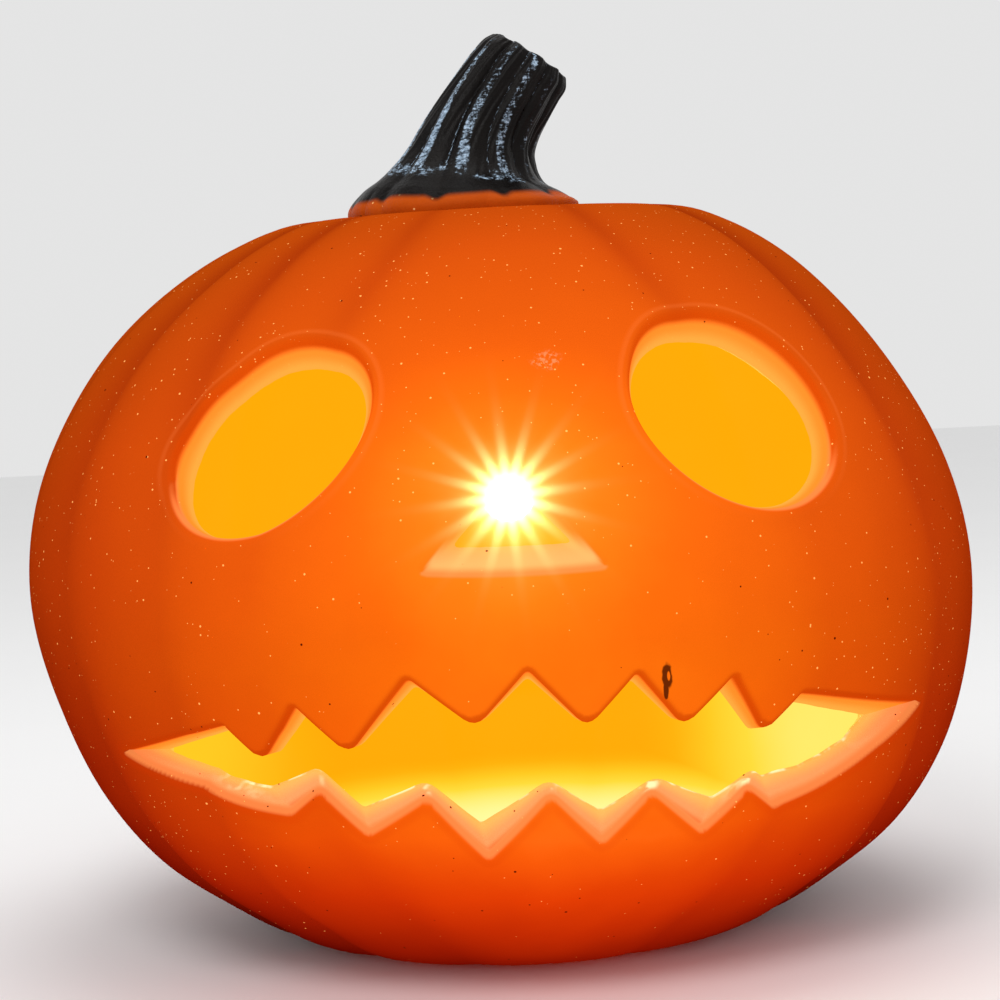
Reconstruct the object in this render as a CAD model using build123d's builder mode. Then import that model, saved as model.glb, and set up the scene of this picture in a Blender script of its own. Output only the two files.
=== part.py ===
"""Light-up pumpkin lantern: a hollow moulded shell, a fitted stem and a push-in lamp module.

Millimetres. +Z is up, the face looks along -Y, and the origin is the middle of the flat base.
"""
import os
from math import cos, hypot, pi, radians, sin

from build123d import *

os.makedirs("parts", exist_ok=True)

# Shell: rings of the outer surface from the base to the floor of the top dimple,
# each as radius, height and sideways shift of the ring's centre
RINGS = [
    (62, 0, 3.5), (74, 1.2, 3.5), (84, 5, 3.5), (101.5, 16, 3.5), (121.5, 32, 3), (137, 54, 2),
    (146.5, 81, 0.5), (150, 112, -1.5), (144.5, 144, -3), (132, 171, -3.5), (115, 194, -3),
    (97, 210, -1.5), (80, 220, -0.5), (65, 225.5, 0), (54, 226.3, 0), (44, 224, -2), (38, 220, -4),
    (34, 218.5, -4),
]
BODY_HEIGHT = 226.3
WALL = 2.6
LIP_DEPTH = 9           # how far the wall turns in around each opening
GROOVE_DEPTH = 4.2      # between ribs, near the top and bottom
GROOVE_SHALLOW = 0.35   # the part of that depth left at mid-height

# Grooves between ribs: azimuth from the face, and how far the groove bows sideways at mid-height
GROOVES = [
    (-138, 0), (-106, 0), (-77, 0), (-59, 0), (-40, 0), (-14, -13), (22, 16), (60, 0), (85, 0),
    (112, 0), (139, 0), (166, 0), (194, 0),
]

# Eyes: middle, outward direction, half-length, half-width and turn of the oval
EYES = {
    "left": {"at": (-63, -122.5, 164), "out": (-0.38, -0.81, 0.44), "half": (32.6, 26.1), "turn": 43},
    "right": {"at": (68, -116, 165), "out": (0.445, -0.775, 0.45), "half": (34.1, 29.9), "turn": -30},
}
EYE_DRAFT = 0.3         # narrowing for each millimetre of depth
NOSE = [(-22, -11), (29, -12.5), (4, 22)]
NOSE_TIP = (0, -108, 138)         # the nose's sides aim at this inner point
NOSE_FACE = 38                    # distance from there to the plane the outline is drawn on
MOUTH_TIP = (3, -15, 95)          # the mouth's sides aim at this inner point
MOUTH_FACE = 135
MOUTH = [
    (-212, -39), (-102, -12), (-87, -24), (-69, -4), (-52, -19), (-31, 4), (-13, -11), (2, 5),
    (18, -13), (33, 2), (48, -16), (66, -2), (80, -23), (99, -12), (240, -41), (163, -48),
    (121, -53), (94, -56), (76, -41), (59, -55), (38, -34), (23, -51), (7, -31), (-13, -55),
    (-29, -31), (-52, -47), (-65, -31), (-81, -42), (-127, -42), (-164, -40),
]

# Stem: rings along its bent axis as sideways place, height, lean and radius
STEM_RINGS = [
    (-5, 218.5, 0, 28), (-6, 223, 0, 34.5), (-6.5, 229, 0, 37), (-5.5, 233.5, 4, 33),
    (-4.8, 236.5, 6, 28.5), (-4.2, 240, 10, 24), (-3, 244, 14, 21), (-1.5, 248.5, 19, 19),
    (1, 254, 26, 17.2), (4.5, 259.5, 30, 16.1), (8.5, 264.5, 33, 15.3), (13.5, 270.5, 34, 14.3),
    (18, 275.6, 35, 13),
]
STEM_FLUTES = 7
SPIGOT_X = -4
SPIGOT_RADIUS = 11
STEM_SCREW_RADIUS = 2.5

# Lamp module, drawn as seen from behind the pumpkin. Depths count outwards from the port's ledge.
PORT = (3, 133, 114)
RECESS_RADIUS = 48.5
HOLE_RADIUS = 40.4
SLEEVE_DEPTH = 12
FLANGE_RADIUS, FLANGE = 47.5, 3
BARREL_RADIUS, BARREL_DEPTH, BARREL_WALL = 40, 26, 2.2
BAY_LENGTH, BAY_WIDTH, BAY_DEPTH = 56, 44.5, 16
CELL_RADIUS, CELL_LENGTH, CELL_PITCH = 7.1, 49.2, 14.7
DOOR_THICK, DOOR_GAP = 2, 0.4
HINGE_U, HINGE_W = -31.5, 3.3
PIN_RADIUS, KNUCKLE_RADIUS = 1, 2.2
LATCH_U = 32.5
NECK_V, NECK_RADIUS, NECK_WALL, NECK_LENGTH = 18, 10, 1.8, 36
SWITCH_V, SWITCH_TRAVEL = 28, 4
COVER_SCREWS = [(-26, 22), (26, 22), (0, -33)]


def inset(depth):
    """The shell's rings moved inwards by a depth, square to the surface."""
    moved = []
    for i, (radius, height, shift) in enumerate(RINGS):
        low, high = RINGS[max(i - 1, 0)], RINGS[min(i + 1, len(RINGS) - 1)]
        run, rise = high[0] - low[0], high[1] - low[1]
        length = hypot(run, rise)
        moved.append((radius - depth * rise / length, height + depth * run / length, shift))
    # the two flat ends keep their full wall
    moved[0] = (moved[0][0], RINGS[0][1] + depth, RINGS[0][2])
    moved[-1] = (moved[-1][0], RINGS[-1][1] - depth, RINGS[-1][2])
    if depth:
        # drop the rings next to the flat ends where the inset would cross itself
        moved = [moved[0]] + [ring for ring in moved[2:-2] if moved[0][1] + 0.5 < ring[1]] + moved[-1:]
    return moved


def ring_points(radius, height, shift):
    """One ring with its grooves: four points for each rib."""
    level = min(max(height / BODY_HEIGHT, 0), 1)
    depth = GROOVE_DEPTH * (GROOVE_SHALLOW + (1 - GROOVE_SHALLOW) * abs(2 * level - 1))
    depth *= min(1, (radius / 100) ** 2)
    azimuths = [azimuth + bow * sin(pi * level) for azimuth, bow in GROOVES]
    points = []
    for start, end in zip(azimuths, azimuths[1:] + [azimuths[0] + 360]):
        for part, share in ((0, 1), (0.22, 0.22), (0.5, 0), (0.78, 0.22)):
            turn = radians(start + part * (end - start))
            reach = radius - share * depth
            points.append((shift + reach * sin(turn), -reach * cos(turn)))
    return points


def body(depth):
    """The whole pumpkin as a solid, its surface moved inwards by a depth."""
    with BuildPart() as solid:
        for radius, height, shift in inset(depth):
            with BuildSketch(Plane.XY.offset(height)):
                with BuildLine():
                    Spline(*ring_points(radius, height, shift), periodic=True)
                make_face()
        loft()
    return solid.part


def eye_cone(eye, wall=0):
    """An eye opening: an oval that narrows inwards, larger by wall for its lip."""
    out = Vector(*eye["out"]).normalized()
    face = Plane(origin=eye["at"], x_dir=Vector(-out.Y, out.X, 0), z_dir=out)
    half_long, half_wide = eye["half"]
    with BuildPart() as cone:
        for height in (10, -26):
            grow = wall + EYE_DRAFT * height
            with BuildSketch(face.offset(height)):
                Ellipse(half_long + grow, half_wide + grow, rotation=eye["turn"])
        loft()
    return cone.part


def aimed_cone(outline, tip, face_distance, near, far, wall=0):
    """An opening whose straight sides aim at an inner point, larger by wall for its lip."""
    face = Plane(origin=tip, x_dir=(1, 0, 0), z_dir=(0, -1, 0))
    with BuildPart() as cone:
        for distance in (far, near):
            with BuildSketch(face.offset(distance)):
                with BuildLine():
                    Polyline(*[Vector(u, v) * (distance / face_distance) for u, v in outline], close=True)
                make_face()
                if wall:
                    offset(amount=wall * distance / far, kind=Kind.INTERSECTION)
        loft(ruled=True)
    return cone.part


def nose_cone(wall=0):
    return aimed_cone(NOSE, NOSE_TIP, NOSE_FACE, 18, 50, wall)


def mouth_cone(wall=0):
    return aimed_cone(MOUTH, MOUTH_TIP, MOUTH_FACE, 60, 150, wall)


# Shell
outer = body(0)
with BuildPart() as lips:
    for eye in EYES.values():
        add(eye_cone(eye, WALL))
    add(nose_cone(WALL))
    add(mouth_cone(WALL))
    add(outer, mode=Mode.INTERSECT)
    add(body(LIP_DEPTH), mode=Mode.SUBTRACT)

rear = Plane(origin=PORT, x_dir=(-1, 0, 0), z_dir=(0, 1, 0))
with BuildPart() as port:
    with BuildSketch(rear.offset(-WALL)):
        Circle(RECESS_RADIUS + WALL)
    extrude(amount=30)
    with BuildSketch(rear.offset(-SLEEVE_DEPTH)):
        Circle(HOLE_RADIUS + WALL)
    extrude(amount=SLEEVE_DEPTH)
    add(outer, mode=Mode.INTERSECT)

with BuildPart() as pumpkin_shell:
    add(outer)
    add(body(WALL), mode=Mode.SUBTRACT)
    add(lips.part)
    add(port.part)
    for eye in EYES.values():
        add(eye_cone(eye), mode=Mode.SUBTRACT)
    add(nose_cone(), mode=Mode.SUBTRACT)
    add(mouth_cone(), mode=Mode.SUBTRACT)
    with BuildSketch(rear):
        Circle(RECESS_RADIUS)
    extrude(amount=30, mode=Mode.SUBTRACT)
    with BuildSketch(rear.offset(-SLEEVE_DEPTH - 1)):
        Circle(HOLE_RADIUS)
    extrude(amount=SLEEVE_DEPTH + 1, mode=Mode.SUBTRACT)
    with BuildSketch(Plane.XY.offset(RINGS[-1][1] - 2 * WALL)):
        with Locations((SPIGOT_X, 0)):
            Circle(SPIGOT_RADIUS + 0.1)
    extrude(amount=4 * WALL, mode=Mode.SUBTRACT)

# Stem
SEAT = RINGS[-1][1]
with BuildPart() as stem:
    for across, height, lean, radius in STEM_RINGS:
        axis = Vector(sin(radians(lean)), 0, cos(radians(lean)))
        side = Vector(cos(radians(lean)), 0, -sin(radians(lean)))
        flute = min(1.3, (height - SEAT) / 10)
        with BuildSketch(Plane(origin=(across, 0, height), x_dir=side, z_dir=axis)):
            with BuildLine():
                count = 4 * STEM_FLUTES
                Spline(
                    *[
                        (
                            (radius - flute * (1 - cos(2 * pi * i / 4)) / 2) * cos(2 * pi * i / count),
                            (radius - flute * (1 - cos(2 * pi * i / 4)) / 2) * sin(2 * pi * i / count),
                        )
                        for i in range(count)
                    ],
                    periodic=True,
                )
            make_face()
    loft(ruled=True)
    with BuildSketch(Plane.XY.offset(SEAT - 10)):
        with Locations((SPIGOT_X, 0)):
            Circle(SPIGOT_RADIUS)
    extrude(amount=10.5)
    with BuildSketch(Plane.XY.offset(SEAT - 10)):
        with Locations((SPIGOT_X, 0)):
            Circle(STEM_SCREW_RADIUS + 0.05)
    extrude(amount=18, mode=Mode.SUBTRACT)

WASHER = 1.6
with BuildPart() as stem_washer:
    with BuildSketch(Plane.XY.offset(SEAT - 10 - WASHER)):
        with Locations((SPIGOT_X, 0)):
            Circle(18)
            Circle(STEM_SCREW_RADIUS + 0.2, mode=Mode.SUBTRACT)
    extrude(amount=WASHER)

with BuildPart() as stem_screw:
    with BuildSketch(Plane.XY.offset(SEAT - 10 - WASHER - 3)):
        with Locations((SPIGOT_X, 0)):
            Circle(5)
    extrude(amount=3)
    chamfer(stem_screw.edges().group_by(Axis.Z)[0], 0.8)
    with BuildSketch(Plane.XY.offset(SEAT - 10 - WASHER)):
        with Locations((SPIGOT_X, 0)):
            Circle(STEM_SCREW_RADIUS)
    extrude(amount=16)
    with BuildSketch(Plane.XY.offset(SEAT - 10 - WASHER - 3)):
        with Locations((SPIGOT_X, 0)):
            Rectangle(6, 1.2)
            Rectangle(1.2, 6)
    extrude(amount=1.5, mode=Mode.SUBTRACT)

# Lamp module: housing
DOOR_LEFT, DOOR_RIGHT = HINGE_U + 2.5, BAY_LENGTH / 2 + 1.5
DOOR_HALF = BAY_WIDTH / 2 + 1
KNUCKLE_SPAN, EAR_SPAN = (4, 14), (15, 19)
DOOR_BED = FLANGE - DOOR_THICK
SEAL_AT, SEAL_WIDTH, SEAL_RADIUS = -6, 2.2, 0.95
with BuildPart() as lamp_housing:
    with BuildSketch(rear):
        Circle(FLANGE_RADIUS)
    extrude(amount=FLANGE)
    fillet(lamp_housing.edges().filter_by(GeomType.CIRCLE).sort_by(Axis.Y)[-1], 0.8)
    with BuildSketch(rear.offset(-BARREL_DEPTH)):
        Circle(BARREL_RADIUS)
    extrude(amount=BARREL_DEPTH)
    with BuildSketch(rear.offset(-BARREL_DEPTH)):
        Circle(BARREL_RADIUS - BARREL_WALL)
    extrude(amount=BARREL_DEPTH - BAY_DEPTH - 1.8, mode=Mode.SUBTRACT)
    # groove for the rubber ring
    with BuildSketch(rear.offset(SEAL_AT - SEAL_WIDTH / 2)):
        Circle(BARREL_RADIUS + 1)
        Circle(BARREL_RADIUS - 1.6, mode=Mode.SUBTRACT)
    extrude(amount=SEAL_WIDTH, mode=Mode.SUBTRACT)
    # battery bay and the door's bed
    with BuildSketch(rear.offset(-BAY_DEPTH)):
        Rectangle(BAY_LENGTH, BAY_WIDTH)
    extrude(amount=BAY_DEPTH + FLANGE, mode=Mode.SUBTRACT)
    with BuildSketch(rear.offset(DOOR_BED - 0.05)):
        with Locations(((HINGE_U - 2.6 + DOOR_RIGHT + DOOR_GAP) / 2, 0)):
            Rectangle(DOOR_RIGHT + DOOR_GAP - HINGE_U + 2.6, 2 * (DOOR_HALF + DOOR_GAP))
        with Locations((LATCH_U, 0)):
            Rectangle(12, 10 + 2 * DOOR_GAP)
    extrude(amount=FLANGE, mode=Mode.SUBTRACT)
    with BuildSketch(rear.offset(-8)):
        with Locations((LATCH_U, 0)):
            Circle(2.4)
    extrude(amount=12, mode=Mode.SUBTRACT)
    # ears for the hinge pin
    with BuildSketch(rear.offset(DOOR_BED - 0.3)):
        for side in (-1, 1):
            with Locations((HINGE_U, side * sum(EAR_SPAN) / 2)):
                Rectangle(2 * KNUCKLE_RADIUS, EAR_SPAN[1] - EAR_SPAN[0])
    extrude(amount=HINGE_W - DOOR_BED + 0.3)
    for side in (-1, 1):
        low = min(side * EAR_SPAN[0], side * EAR_SPAN[1])
        with BuildSketch(Plane(origin=rear.from_local_coords((HINGE_U, low, HINGE_W)), z_dir=(0, 0, 1))):
            Circle(KNUCKLE_RADIUS)
        extrude(amount=EAR_SPAN[1] - EAR_SPAN[0])
    with BuildSketch(Plane(origin=rear.from_local_coords((HINGE_U, -22, HINGE_W)), z_dir=(0, 0, 1))):
        Circle(PIN_RADIUS)
    extrude(amount=44, mode=Mode.SUBTRACT)
    # room for the door's knuckles
    with BuildSketch(Plane(origin=rear.from_local_coords((HINGE_U, -EAR_SPAN[0], HINGE_W)), z_dir=(0, 0, 1))):
        Circle(KNUCKLE_RADIUS + 0.5)
    extrude(amount=2 * EAR_SPAN[0], mode=Mode.SUBTRACT)
    # switch pocket, its slot and the bosses for the cover screws
    with BuildSketch(rear.offset(-BAY_DEPTH - 2)):
        with Locations((0, SWITCH_V)):
            Rectangle(22, 8)
    extrude(amount=BAY_DEPTH + 2, mode=Mode.SUBTRACT)
    with BuildSketch(rear.offset(-1)):
        with Locations((0, SWITCH_V)):
            Rectangle(SWITCH_TRAVEL + 6.5, 4.4)
    extrude(amount=FLANGE + 2, mode=Mode.SUBTRACT)
    with BuildSketch(rear.offset(-BARREL_DEPTH + 3)):
        with Locations(*COVER_SCREWS):
            Circle(3.4)
    extrude(amount=BARREL_DEPTH - BAY_DEPTH - 3)
    with BuildSketch(rear.offset(-BARREL_DEPTH + 3)):
        with Locations(*COVER_SCREWS):
            Circle(1.55)
    extrude(amount=9, mode=Mode.SUBTRACT)

with BuildPart() as port_seal:
    with BuildSketch(Plane(origin=rear.from_local_coords((0, 0, SEAL_AT)), x_dir=(1, 0, 0), z_dir=(0, 0, 1))):
        with Locations((BARREL_RADIUS + 0.3 - SEAL_RADIUS, 0)):
            Circle(SEAL_RADIUS)
    revolve(axis=Axis(PORT, (0, 1, 0)))

# Lamp module: inner cover with the lamp's neck
with BuildPart() as front_cover:
    with BuildSketch(rear.offset(-BARREL_DEPTH)):
        Circle(BARREL_RADIUS - BARREL_WALL - 0.1)
    extrude(amount=2)
    with BuildSketch(rear.offset(-BARREL_DEPTH - NECK_LENGTH)):
        with Locations((0, NECK_V)):
            Circle(NECK_RADIUS)
    extrude(amount=NECK_LENGTH)
    fillet(front_cover.edges().filter_by(GeomType.CIRCLE).group_by(Axis.Y)[1].sort_by(SortBy.LENGTH)[0], 2)
    with BuildSketch(rear.offset(-BARREL_DEPTH - NECK_LENGTH)):
        with Locations((0, NECK_V)):
            Circle(NECK_RADIUS - NECK_WALL)
    extrude(amount=NECK_LENGTH + 2, mode=Mode.SUBTRACT)
    with BuildSketch(rear.offset(-BARREL_DEPTH)):
        with Locations(*COVER_SCREWS):
            Circle(1.7)
    extrude(amount=2, mode=Mode.SUBTRACT)

with BuildPart() as cover_screws:
    with BuildSketch(rear.offset(-BARREL_DEPTH - 1.8)):
        with Locations(*COVER_SCREWS):
            Circle(2.8)
    extrude(amount=1.8)
    with BuildSketch(rear.offset(-BARREL_DEPTH)):
        with Locations(*COVER_SCREWS):
            Circle(1.5)
    extrude(amount=9)
    with BuildSketch(rear.offset(-BARREL_DEPTH - 1.8)):
        for screw in COVER_SCREWS:
            with Locations(screw):
                Rectangle(3.2, 0.7)
                Rectangle(0.7, 3.2)
    extrude(amount=0.9, mode=Mode.SUBTRACT)

# Lamp module: electrics
BOARD_AT = -BAY_DEPTH - 5.6
with BuildPart() as circuit_board:
    with BuildSketch(rear.offset(BOARD_AT)):
        with Locations((0, 6)):
            RectangleRounded(36, 40, 3)
    extrude(amount=1.6)

with BuildPart() as board_chips:
    with BuildSketch(rear.offset(BOARD_AT + 1.6)):
        with Locations((-8, 2), (9, -6)):
            Rectangle(6, 4.5)
        with Locations((4, 8), (-4, -8)):
            Rectangle(2.4, 1.4)
    extrude(amount=1.5)

LED_AT = -BARREL_DEPTH - NECK_LENGTH
with BuildPart() as led_board:
    with BuildSketch(rear.offset(LED_AT + 0.4)):
        with Locations((0, NECK_V)):
            Circle(NECK_RADIUS - NECK_WALL - 0.1)
    extrude(amount=1.2)

with BuildPart() as led_chip:
    with BuildSketch(rear.offset(LED_AT - 1.2)):
        with Locations((0, NECK_V)):
            RectangleRounded(5, 5, 0.6)
    extrude(amount=1.6)

DIFFUSER_RADIUS, BULB_RADIUS, DOME_AT = 9.4, 8, -4
with BuildPart() as led_diffuser:
    with BuildSketch(Plane(origin=rear.from_local_coords((0, NECK_V, LED_AT)), x_dir=(0, 1, 0), z_dir=(1, 0, 0))):
        with BuildLine():
            Polyline((DOME_AT, DIFFUSER_RADIUS), (0, DIFFUSER_RADIUS), (0, BULB_RADIUS), (DOME_AT, BULB_RADIUS))
            dome_in = CenterArc((DOME_AT, 0), BULB_RADIUS, 90, 90)
            dome_out = CenterArc((DOME_AT, 0), DIFFUSER_RADIUS, 90, 90)
            Line(dome_in @ 1, dome_out @ 1)
        make_face()
    revolve(axis=Axis(rear.from_local_coords((0, NECK_V, 0)), (0, 1, 0)))

LEAD_RADIUS = 0.8


def lead(across):
    """A lead from the circuit board through the neck to the lamp's board."""
    start, end = BOARD_AT, LED_AT + 1.6
    with BuildPart() as wire:
        with BuildSketch(rear.offset(end)):
            with Locations((across, NECK_V)):
                Circle(LEAD_RADIUS)
        extrude(amount=start - end)
    return wire


red_lead, black_lead = lead(-3), lead(3)

# Cells: alternate ways round, side by side
rows = [(i - 1) * CELL_PITCH for i in range(3)]
with BuildPart() as battery_cells:
    for i, row in enumerate(rows):
        way = 1 if i % 2 else -1
        tail = rear.from_local_coords((-way * CELL_LENGTH / 2, row, -CELL_RADIUS - 1))
        head = Vector(-way, 0, 0)
        with BuildSketch(Plane(origin=tail, z_dir=head)):
            Circle(CELL_RADIUS)
        extrude(amount=CELL_LENGTH)
        with BuildSketch(Plane(origin=tail + head * CELL_LENGTH, z_dir=head)):
            Circle(2.7)
        extrude(amount=1.2)

with BuildPart() as contact_plates:
    for i, row in enumerate(rows):
        way = 1 if i % 2 else -1
        with BuildSketch(rear.offset(-BAY_DEPTH + 1)):
            with Locations((way * (BAY_LENGTH / 2 - 0.3), row)):
                Rectangle(0.4, 11)
        extrude(amount=13)

with BuildPart() as contact_springs:
    for i, row in enumerate(rows):
        way = 1 if i % 2 else -1
        seat = rear.from_local_coords((-way * (BAY_LENGTH / 2 - 0.6), row, -CELL_RADIUS - 1))
        length = BAY_LENGTH / 2 - 0.6 - CELL_LENGTH / 2 - 0.6
        with BuildLine():
            coil = Helix(pitch=length / 3, height=length, radius=3.2, center=seat, direction=(-way, 0, 0))
        with BuildSketch(Plane(origin=coil @ 0, z_dir=coil % 0)):
            Circle(0.35)
        sweep(path=coil, is_frenet=True)

# Battery door: plate, latch tab, knuckles and a web that joins them
knuckle_axis = rear.from_local_coords((HINGE_U, 0, HINGE_W))
with BuildPart() as battery_door:
    with BuildSketch(rear.offset(DOOR_BED)):
        with Locations(((DOOR_LEFT + DOOR_RIGHT) / 2, 0)):
            RectangleRounded(DOOR_RIGHT - DOOR_LEFT, 2 * DOOR_HALF, 1.5)
        with Locations((LATCH_U, 0)):
            RectangleRounded(11, 10, 2)
    extrude(amount=DOOR_THICK)
    for side in (-1, 1):
        low = min(side * KNUCKLE_SPAN[0], side * KNUCKLE_SPAN[1])
        with BuildSketch(Plane(origin=knuckle_axis + Vector(0, 0, low), z_dir=(0, 0, 1))):
            Circle(KNUCKLE_RADIUS)
        extrude(amount=KNUCKLE_SPAN[1] - KNUCKLE_SPAN[0])
    with BuildSketch(rear.offset(DOOR_BED + 0.6)):
        for side in (-1, 1):
            with Locations(((HINGE_U + DOOR_LEFT) / 2 + 0.5, side * sum(KNUCKLE_SPAN) / 2)):
                Rectangle(DOOR_LEFT - HINGE_U + 1, KNUCKLE_SPAN[1] - KNUCKLE_SPAN[0])
    extrude(amount=DOOR_THICK - 0.6)
    with BuildSketch(Plane(origin=knuckle_axis + Vector(0, 0, -22), z_dir=(0, 0, 1))):
        Circle(PIN_RADIUS + 0.06)
    extrude(amount=44, mode=Mode.SUBTRACT)
    with BuildSketch(rear.offset(DOOR_BED)):
        with Locations((LATCH_U, 0)):
            Circle(1.6)
    extrude(amount=DOOR_THICK, mode=Mode.SUBTRACT)
    # finger ribs
    with BuildSketch(rear.offset(FLANGE)):
        for i in range(4):
            with Locations((DOOR_RIGHT - 6 - 3 * i, 0)):
                Rectangle(1, 22)
    extrude(amount=0.5)

with BuildPart() as hinge_pin:
    with BuildSketch(Plane(origin=knuckle_axis + Vector(0, 0, -19.5), z_dir=(0, 0, 1))):
        Circle(PIN_RADIUS)
    extrude(amount=39)

with BuildPart() as door_screw:
    with BuildSketch(rear.offset(FLANGE)):
        with Locations((LATCH_U, 0)):
            Circle(3)
    extrude(amount=1.4)
    with BuildSketch(rear.offset(DOOR_BED - 3.5)):
        with Locations((LATCH_U, 0)):
            Circle(1.5)
    extrude(amount=FLANGE - DOOR_BED + 3.5)
    with BuildSketch(rear.offset(FLANGE + 0.7)):
        with Locations((LATCH_U, 0)):
            Rectangle(3.4, 0.8)
            Rectangle(0.8, 3.4)
    extrude(amount=0.7, mode=Mode.SUBTRACT)

# Slide switch, shown on: the knob moves right, as seen from behind, to switch off
with BuildPart() as switch_body:
    with BuildSketch(rear.offset(-9)):
        with Locations((0, SWITCH_V)):
            Rectangle(20, 7.4)
    extrude(amount=6.5)

with BuildPart() as switch_knob:
    with BuildSketch(rear.offset(-2.3)):
        with Locations((-SWITCH_TRAVEL / 2, SWITCH_V)):
            RectangleRounded(5.6, 3.8, 0.6)
    extrude(amount=FLANGE + 4)

pieces = {
    "pumpkin_shell": pumpkin_shell,
    "stem": stem,
    "stem_washer": stem_washer,
    "stem_screw": stem_screw,
    "lamp_housing": lamp_housing,
    "port_seal": port_seal,
    "front_cover": front_cover,
    "cover_screws": cover_screws,
    "circuit_board": circuit_board,
    "board_chips": board_chips,
    "led_board": led_board,
    "led_chip": led_chip,
    "led_diffuser": led_diffuser,
    "red_lead": red_lead,
    "black_lead": black_lead,
    "battery_cells": battery_cells,
    "contact_plates": contact_plates,
    "contact_springs": contact_springs,
    "battery_door": battery_door,
    "hinge_pin": hinge_pin,
    "door_screw": door_screw,
    "switch_body": switch_body,
    "switch_knob": switch_knob,
}
for name, piece in pieces.items():
    piece.part.label = name
    export_step(piece.part, f"parts/{name}.step")
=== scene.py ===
"""Visual model of the light-up pumpkin lantern: moulded shell, painted stem and lamp module."""
from math import cos, pi, radians, sin

import bmesh
import bpy
import numpy as np
from mathutils import Matrix, Vector
from mathutils.geometry import delaunay_2d_cdt


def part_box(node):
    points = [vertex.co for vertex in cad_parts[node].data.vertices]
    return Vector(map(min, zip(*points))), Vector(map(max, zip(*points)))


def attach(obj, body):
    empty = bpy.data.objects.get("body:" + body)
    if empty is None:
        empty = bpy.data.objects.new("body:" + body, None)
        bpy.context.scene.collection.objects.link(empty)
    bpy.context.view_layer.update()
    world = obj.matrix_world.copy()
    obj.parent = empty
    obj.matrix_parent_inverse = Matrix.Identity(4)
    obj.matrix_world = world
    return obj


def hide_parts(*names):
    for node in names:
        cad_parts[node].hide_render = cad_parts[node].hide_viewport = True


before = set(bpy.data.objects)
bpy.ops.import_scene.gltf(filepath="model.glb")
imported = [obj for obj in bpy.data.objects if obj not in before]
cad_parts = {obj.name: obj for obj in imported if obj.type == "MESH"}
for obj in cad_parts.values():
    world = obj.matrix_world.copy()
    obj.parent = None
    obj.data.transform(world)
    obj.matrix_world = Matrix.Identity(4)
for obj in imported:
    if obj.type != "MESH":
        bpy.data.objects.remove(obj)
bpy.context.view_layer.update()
MM = 0.001

# ---------------------------------------------------------------- design values, in millimetres
# Rings of the shell from base to dimple: radius, height, sideways shift of the centre
RINGS = [
    (62, 0, 3.5), (74, 1.2, 3.5), (84, 5, 3.5), (101.5, 16, 3.5), (121.5, 32, 3), (137, 54, 2),
    (146.5, 81, 0.5), (150, 112, -1.5), (144.5, 144, -3), (132, 171, -3.5), (115, 194, -3),
    (97, 210, -1.5), (80, 220, -0.5), (65, 225.5, 0), (54, 226.3, 0), (44, 224, -2), (38, 220, -4),
    (34, 218.5, -4),
]
BODY_HEIGHT = 226.3
BODY_RADIUS = 150
WALL = 2.4
GROOVE_DEPTH = 4.6
GROOVE_SHALLOW = 0.3
# azimuth from the face, sideways bow at mid-height, strength
GROOVES = [
    (-138, 0, 1), (-106, 0, 0.9), (-77, 0, 0.8), (-59, 0, 1), (-40, 0, 1), (-14, -13, 0.6),
    (22, 16, 0.7), (60, 0, 1.1), (85, 0, 0.9), (112, 0, 1), (139, 0, 1), (166, 0, 0.8), (194, 0, 0.9),
]

LIP_DEPTH = 9
# Each eye: a point on its axis, the axis, and the outer and inner ellipse as half length, half width
# and turn. A dent is an angle, a share of the radius (inwards if negative) and a width in degrees.
EYES = {
    "left": {
        "at": (-64.3, -121, 165.7), "out": (-0.38, -0.81, 0.44),
        "outer": (33.2, 26.2, 43), "inner": (29.8, 21.6, 41), "shift": (-1.2, -1.8),
        "outer_dents": [(126, -0.09, 24), (188, 0.06, 26)], "inner_dents": [(125, -0.07, 30)],
    },
    "right": {
        "at": (67.8, -114.6, 166.8), "out": (0.445, -0.775, 0.45),
        "outer": (34.0, 29.8, -32), "inner": (29.8, 24.8, -31), "shift": (0.5, -1.1),
        "outer_dents": [(150, -0.045, 24)], "inner_dents": [(42, -0.07, 34)],
    },
}
NOSE_TIP, NOSE_FACE = (0, -108, 138), 38
NOSE_OUTER = [(-22.5, -10.8), (29, -12.4), (4, 22)]
NOSE_INNER = [(-17.5, -7), (25, -8), (3.6, 16.5)]
MOUTH_TIP, MOUTH_FACE = (3, -15, 95), 135
MOUTH_OUTER = [
    (-212, -39), (-102, -12), (-87, -24), (-69, -4), (-52, -19), (-31, 4), (-13, -11), (2, 5),
    (18, -13), (33, 2), (48, -16), (66, -2), (80, -23), (99, -12), (240, -41), (163, -48),
    (121, -53.5), (94, -57), (76, -42), (59, -56.5), (38, -35), (23, -52.5), (7, -32), (-13, -56.5),
    (-29, -32), (-52, -48.5), (-66, -32), (-81, -43.5), (-127, -43), (-164, -40.5),
]
MOUTH_INNER = [
    (-179, -36), (-104, -15), (-88, -25), (-69, -7), (-53, -20), (-31, 1), (-13, -12), (2, 2),
    (18, -14), (33, -1), (49, -17), (64, -6), (82, -26), (97, -16), (176, -38), (151, -45),
    (118, -49), (93, -47), (85, -42), (67, -49), (42, -35), (24, -45), (7, -31), (-15, -47),
    (-31, -30), (-56, -43), (-71, -28), (-96, -39), (-128, -40), (-155, -38),
]
PORT = (3, 133, 114)
RECESS_RADIUS, HOLE_RADIUS, SLEEVE_DEPTH = 48.5, 40.4, 12
LAMP = (3, 62, 132)

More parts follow.
